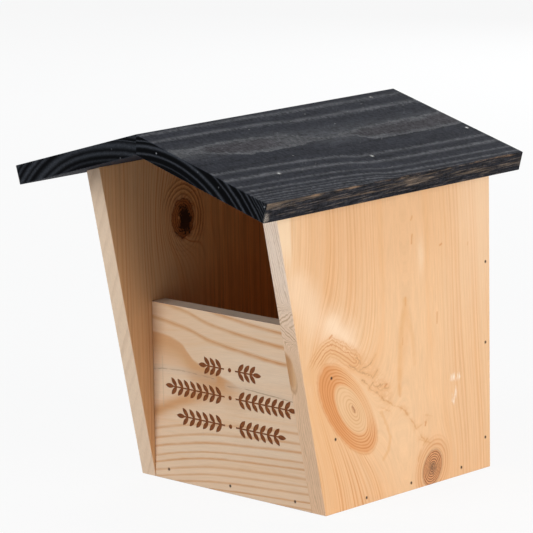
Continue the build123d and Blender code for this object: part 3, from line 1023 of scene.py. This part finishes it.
class NESTBOX_OT_roof(bpy.types.Operator):
    """Black stain for the two roof boards"""

    bl_idname = "nestbox.roof"
    bl_label = "Roof"

    def execute(self, context):
        stain = context.scene.nestbox_stain
        in_roof = [head for head in heads_on("brad") if head.middle.z > ROOF_HEADS_ABOVE]
        for side, name in ((1.0, "right_roof_board"), (-1.0, "left_roof_board")):
            heads = [head for head in in_roof if head.middle.x * side > 0.0]
            dress(name, stained_pine(stain, "stained_" + name, side, heads))
        return {"FINISHED"}


def brad_tree():
    """Geometry Nodes: one brad with a T head, set on every point along the point's own axes."""
    tree = bpy.data.node_groups.new("brads_on_points", "GeometryNodeTree")
    tree.interface.new_socket("Brads", in_out="OUTPUT", socket_type="NodeSocketGeometry")
    for name, kind in BRAD_INPUTS.items():
        tree.interface.new_socket(name, in_out="INPUT", socket_type="NodeSocket" + kind)
    given = {socket.name: Field(tree, socket) for socket in tree.nodes.new("NodeGroupInput").outputs}

    def plate(width, depth):
        """A flat, round-cornered plate that faces up."""
        sides = {"Width": width, "Height": depth}
        outline = made(tree, "GeometryNodeCurvePrimitiveQuadrilateral", sides)
        corners = {"Curve": outline, "Radius": depth * 0.22, "Count": 3}
        rounded = made(tree, "GeometryNodeFilletCurve", corners, mode="POLY")
        return made(tree, "GeometryNodeFillCurve", {"Curve": rounded}, mode="NGONS")

    def pushed(mesh, end, height, widths=()):
        """The mesh's end face pushed along z, and made wider or narrower along x and y."""
        push = {"Mesh": mesh, "Selection": end, "Offset Scale": height}
        mesh = made(tree, "GeometryNodeExtrudeMesh", push, mode="FACES")
        end = beside(mesh, "Top")
        ways = {"domain": "FACE", "scale_mode": "SINGLE_AXIS"}
        for axis, width in zip(((1.0, 0.0, 0.0), (0.0, 1.0, 0.0)), widths):
            change = {"Geometry": mesh, "Selection": end, "Scale": width, "Axis": axis}
            mesh = made(tree, "GeometryNodeScaleElements", change, **ways)
        return mesh, end

    # Head, from its outer face inwards: rounded rim, then straight sides
    small = plate(given["Head width"] * LID_SHARES[0], given["Head depth"] * LID_SHARES[1])
    lid = made(tree, "GeometryNodeFlipFaces", {"Mesh": small})
    rim = given["Head height"] * RIM_SHARE
    head, end = pushed(small, True, rim, [1.0 / share for share in LID_SHARES])
    head, end = pushed(head, end, given["Head height"] - rim)
    # Shank, from the head to its chisel point
    base = plate(given["Shank width"], given["Shank depth"])
    shank, end = pushed(base, True, given["Length"] - given["Point length"] - given["Head height"])
    shank, end = pushed(shank, end, given["Point length"], POINT_SHARES)
    offset = vector(tree, 0.0, 0.0, given["Head height"])
    shank = made(tree, "GeometryNodeTransform", {"Geometry": shank, "Translation": offset})
    joined = made(tree, "GeometryNodeJoinGeometry", {})
    for part in (shank, head, lid):
        tree.links.new(part.socket, joined.socket.node.inputs[0])
    brad = made(tree, "GeometryNodeMergeByDistance", {"Geometry": joined, "Distance": WELD})
    # Each point has the way into the wood and the way its head is wide
    ahead, wide = (
        made(tree, "GeometryNodeInputNamedAttribute", {"Name": name}, data_type="FLOAT_VECTOR")
        for name in ("ahead", "wide")
    )
    axes = {"Primary Axis": ahead, "Secondary Axis": wide}
    turn = made(tree, "FunctionNodeAxesToRotation", axes, primary_axis="Z", secondary_axis="X")
    limits = {"Seed": given["Seed"], 3: given["Uneven depth"]}
    slide = vector_times(ahead, made(tree, "FunctionNodeRandomValue", limits, 1, data_type="FLOAT"))
    moved = made(tree, "GeometryNodeSetPosition", {"Geometry": given["Heads"], "Offset": slide})
    spread = {"Points": moved, "Instance": brad, "Rotation": turn}
    spread = made(tree, "GeometryNodeInstanceOnPoints", spread)
    real = made(tree, "GeometryNodeRealizeInstances", {"Geometry": spread})
    final = made(tree, "GeometryNodeSetMaterial", {"Geometry": real, "Material": given["Steel"]})
    feed(tree, tree.nodes.new("NodeGroupOutput").inputs[0], final)
    return tree


def set_brads(name, tree, prefixes, steel, settings):
    """One piece with the brads of several nodes, in the places of their solids."""
    names = [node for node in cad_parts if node.startswith(prefixes)]
    heads = heads_on(prefixes)
    points = bpy.data.meshes.new(name)
    points.from_pydata([head.middle for head in heads], [], [])
    for key in ("ahead", "wide"):
        attribute = points.attributes.new(key, "FLOAT_VECTOR", "POINT")
        for entry, head in zip(attribute.data, heads):
            entry.vector = getattr(head, key)
    source = bpy.data.objects.new(name, points)
    bpy.context.scene.collection.objects.link(source)
    modifier = source.modifiers.new("brads", "NODES")
    modifier.node_group = tree
    for socket in tree.interface.items_tree:
        key = socket.name.lower().replace(" ", "_")
        if socket.name == "Steel":
            modifier[socket.identifier] = steel
        elif hasattr(settings, key):
            modifier[socket.identifier] = getattr(settings, key)
    evaluated = source.evaluated_get(bpy.context.evaluated_depsgraph_get())
    mesh = bpy.data.meshes.new_from_object(evaluated)
    bpy.data.objects.remove(source)
    mesh.name = name
    piece = bpy.data.objects.new(name, mesh)
    bpy.context.scene.collection.objects.link(piece)
    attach(piece, "root")
    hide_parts(*names)


class NESTBOX_OT_brads(bpy.types.Operator):
    """Brads in the boards and in the roof"""

    bl_idname = "nestbox.brads"
    bl_label = "Brads"

    def execute(self, context):
        settings = context.scene.nestbox_brads
        tree = brad_tree()
        # The brads sunk in the boards get a darkened copy of the steel, painted shade of their holes
        dull = wire_steel("dull_brad_steel", (0.020, 0.019, 0.020), settings.shaded_steel_colour)
        bright = wire_steel("bright_brad_steel", (0.48, 0.49, 0.52), settings.bright_colour)
        in_boards = ("brads_right_side", "brads_left_side", "brads_front", "brads_back")
        in_roof = ("brads_right_roof", "brads_left_roof", "brad_right", "brad_left", "brads_across")
        set_brads("brads_in_boards", tree, in_boards, dull, settings)
        set_brads("brads_in_roof", tree, in_roof, bright, settings)
        return {"FINISHED"}


def length_setting(name, description, default, least):
    return FloatProperty(name=name, description=description, default=default, min=least, unit="LENGTH")


def power_setting(name, description, default):
    return FloatProperty(name=name, description=description, default=default, min=0.0, unit="POWER")


def colour_setting(name, description, default):
    return FloatVectorProperty(
        name=name, description=description, default=default, min=0.0, max=1.0, size=3, subtype="COLOR"
    )


class NestboxWood(bpy.types.PropertyGroup):
    """Colours of the bare pine and of the burned ornament, and the size of its rings"""

    spring_colour: colour_setting("Spring wood", "Pale wood between the rings", (0.80, 0.525, 0.305))
    summer_colour: colour_setting("Summer wood", "Darker rings", (0.62, 0.28, 0.10))
    heart_colour: colour_setting("Heartwood", "Warm streaks", (0.75, 0.42, 0.195))
    sap_colour: colour_setting("Sapwood", "Cream bands", (0.85, 0.63, 0.41))
    ring_contrast: FloatProperty(
        name="Ring contrast", description="How strongly the rings show", default=1.15, min=0.0, max=2.0,
        subtype="FACTOR",
    )
    ring_spacing: length_setting("Ring spacing", "Wood grown in one year on the sides", 0.0039, 0.001)
    relief: length_setting("Grain relief", "How far the fibres stand up", 0.00003, 0.0)
    burned_colour: colour_setting(
        "Burned wood", "Lightest wood in the burned ornament", (0.28, 0.08, 0.016)
    )
    char_colour: colour_setting(
        "Charred wood", "Darkest wood in the burned ornament", (0.16, 0.035, 0.006)
    )


class NestboxStain(bpy.types.PropertyGroup):
    """Colours of the stained roof"""

    stain_colour: colour_setting("Stain", "Full stain on the faces", (0.034, 0.0365, 0.0465))
    ring_colour: colour_setting(
        "Rings", "Rings on the faces, which take less stain", (0.145, 0.149, 0.162)
    )
    thin_colour: colour_setting(
        "Thin stain", "Flat ring along the middle of a board", (0.079, 0.075, 0.083)
    )
    outline_colour: colour_setting(
        "Thin stain's edge", "Ragged edge of the flat ring", (0.155, 0.162, 0.172)
    )
    end_ring_colour: colour_setting("Rings on the ends", "Rings on the sawn ends", (0.050, 0.053, 0.061))
    worn_colour: colour_setting(
        "Worn stain", "Wood that shows through at the eaves", (0.150, 0.116, 0.088)
    )


class NestboxBrads(bpy.types.PropertyGroup):
    """Sizes of a brad and colours of its steel"""

    head_width: length_setting("Head width", "Long side of the T head", 0.0024, 0.001)
    head_depth: length_setting("Head depth", "Short side of the T head", 0.0014, 0.0005)
    head_height: length_setting("Head height", "Thickness of the T head", 0.0006, 0.0002)
    shank_width: length_setting("Shank width", "Long side of the shank", 0.0013, 0.0005)
    shank_depth: length_setting("Shank depth", "Short side of the shank", 0.0010, 0.0005)
    length: length_setting("Length", "From the head's face to the point", 0.035, 0.01)
    point_length: length_setting("Point length", "Length of the chisel point", 0.0018, 0.0)
    uneven_depth: length_setting("Uneven depth", "How much deeper some brads are driven", 0.0001, 0.0)
    seed: IntProperty(name="Seed", description="Picks which brads are driven deeper", default=4, min=0)
    bright_colour: colour_setting("Bright steel", "Steel of the brads in the roof", (0.70, 0.71, 0.73))
    # Darkened steel for the sunk brads: painted shade of their holes
    shaded_steel_colour: colour_setting(
        "Dull steel", "Steel of the brads sunk in the bare boards", (0.075, 0.072, 0.072)
    )


class NestboxStudio(bpy.types.PropertyGroup):
    """Lamps, floor and air of the studio"""

    key_power: power_setting("Key lamp", "Lamp to the right of the box", 48.0)
    fill_power: power_setting("Front lamp", "Lamp in front of the box", 47.0)
    back_power: power_setting("Back lamp", "Lamp behind the box", 24.0)
    air_strength: FloatProperty(
        name="Air", description="Strength of the light from all around", default=0.30, min=0.0, max=1.0
    )
    paper_colour: colour_setting("Paper", "Colour of the floor", (0.92, 0.92, 0.92))


def soft_lamp(name, place, size, power, colour):
    """Rectangular area lamp that shines on the box."""
    lamp = bpy.data.lights.new(name, "AREA")
    lamp.shape = "RECTANGLE"
    lamp.size, lamp.size_y = size
    lamp.energy = power
    lamp.color = colour
    obj = bpy.data.objects.new(name, lamp)
    obj.location = place
    aim = Vector(LAMP_TARGET) - Vector(place)
    obj.rotation_euler = aim.to_track_quat("-Z", "Y").to_euler()
    bpy.context.scene.collection.objects.link(obj)


def seen_rays(tree):
    """1 for rays that come straight from the camera, or by a mirror or glass."""
    camera = made(tree, "ShaderNodeLightPath", {}, "Is Camera Ray")
    seen = larger(camera, beside(camera, "Is Glossy Ray"))
    return larger(seen, beside(camera, "Is Transmission Ray"))


def mixed_shader(tree, share, first, second):
    """The first shader where share is 0, the second where it is 1."""
    return made(tree, "ShaderNodeMixShader", {0: share, 1: first, 2: second})


def light_air(scene, strength):
    """Soft light from all around, where the camera sees plain white."""
    scene.world = bpy.data.worlds.new("studio")
    scene.world.use_nodes = True
    tree = scene.world.node_tree
    air = tree.nodes["Background"]
    air.inputs["Color"].default_value = (0.90, 0.95, 1.0, 1.0)
    air.inputs["Strength"].default_value = strength
    white = made(tree, "ShaderNodeBackground", {"Color": (1.0, 1.0, 1.0, 1.0)})
    lit = mixed_shader(tree, seen_rays(tree), Field(tree, air.outputs[0]), white)
    feed(tree, tree.nodes["World Output"].inputs[0], lit)


def lay_floor(scene, colour):
    """Paper just under the box, seen from above only, so that the underside can be looked at."""
    mesh = bpy.data.meshes.new("studio_floor")
    ways = ((-1.0, -1.0), (1.0, -1.0), (1.0, 1.0), (-1.0, 1.0))
    corners = [(x * FLOOR_HALF, y * FLOOR_HALF, -FLOOR_DROP) for x, y in ways]
    mesh.from_pydata(corners, [], [(0, 1, 2, 3)])
    floor = bpy.data.objects.new("studio_floor", mesh)
    scene.collection.objects.link(floor)
    paper = bpy.data.materials.new("studio_paper")
    paper.use_nodes = True
    tree = paper.node_tree
    shader = tree.nodes["Principled BSDF"]
    shader.inputs["Base Color"].default_value = (*colour, 1.0)
    shader.inputs["Roughness"].default_value = 0.9
    shader.inputs["Specular IOR Level"].default_value = 0.1
    glow = made(tree, "ShaderNodeEmission", {})
    clear = made(tree, "ShaderNodeBsdfTransparent", {})
    from_below = made(tree, "ShaderNodeNewGeometry", {}, "Backfacing")
    lit = mixed_shader(tree, seen_rays(tree) * 0.90, Field(tree, shader.outputs[0]), glow)
    feed(tree, tree.nodes["Material Output"].inputs[0], mixed_shader(tree, from_below, lit, clear))
    mesh.materials.append(paper)


def place_camera(scene):
    """Camera from where the photograph was taken."""
    camera = bpy.data.cameras.new("camera")
    camera.sensor_width = 36.0
    camera.lens = CAMERA_LENS
    camera.clip_end = 50.0
    view = bpy.data.objects.new("camera", camera)
    azimuth, elevation, roll = (math.radians(angle) for angle in CAMERA_TURN)
    turn = Matrix.Rotation(azimuth, 4, "Z") @ Matrix.Rotation(math.pi / 2.0 - elevation, 4, "X")
    view.matrix_world = Matrix.Translation(CAMERA_PLACE) @ turn @ Matrix.Rotation(roll, 4, "Z")
    scene.collection.objects.link(view)
    scene.camera = view


class NESTBOX_OT_stage(bpy.types.Operator):
    """Pale floor, white background, studio lamps and the camera"""

    bl_idname = "nestbox.stage"
    bl_label = "Studio"

    def execute(self, context):
        scene = context.scene
        studio = scene.nestbox_studio
        scene.view_settings.view_transform = "Standard"
        light_air(scene, studio.air_strength)
        lay_floor(scene, studio.paper_colour)
        soft_lamp("key", (2.65, 0.05, 0.62), (1.3, 1.3), studio.key_power, (1.0, 0.93, 0.86))
        soft_lamp("front_fill", (-0.9, -2.9, 1.0), (1.6, 1.2), studio.fill_power, (0.84, 0.92, 1.0))
        soft_lamp("back_fill", (-1.3, 2.7, 1.1), (1.5, 1.2), studio.back_power, (0.95, 0.97, 1.0))
        place_camera(scene)
        return {"FINISHED"}


class NESTBOX_PT_panel(bpy.types.Panel):
    """Steps of the nest box"""

    bl_idname = "NESTBOX_PT_panel"
    bl_label = "Nest box"
    bl_space_type = "VIEW_3D"
    bl_region_type = "UI"
    bl_category = "Nest box"

    def draw(self, context):
        for entry in STEPS:
            self.layout.operator(entry.bl_idname)
        for name in GROUPS:
            group = getattr(context.scene, name)
            self.layout.label(text=name.replace("nestbox_", "").capitalize())
            for setting in group.bl_rna.properties:
                if setting.identifier not in {"rna_type", "name"}:
                    self.layout.prop(group, setting.identifier)


STEPS = (NESTBOX_OT_walls, NESTBOX_OT_roof, NESTBOX_OT_brads, NESTBOX_OT_stage)
GROUPS = {
    "nestbox_wood": NestboxWood,
    "nestbox_stain": NestboxStain,
    "nestbox_brads": NestboxBrads,
    "nestbox_studio": NestboxStudio,
}
CLASSES = (*GROUPS.values(), *STEPS, NESTBOX_PT_panel)


def register():
    for entry in CLASSES:
        bpy.utils.register_class(entry)
    for name, group in GROUPS.items():
        setattr(bpy.types.Scene, name, PointerProperty(type=group))


def unregister():
    for name in GROUPS:
        delattr(bpy.types.Scene, name)
    for entry in reversed(CLASSES):
        bpy.utils.unregister_class(entry)


def main():
    register()
    bpy.ops.nestbox.walls()
    bpy.ops.nestbox.roof()
    bpy.ops.nestbox.brads()
    bpy.ops.nestbox.stage()


if __name__ == "__main__":
    main()
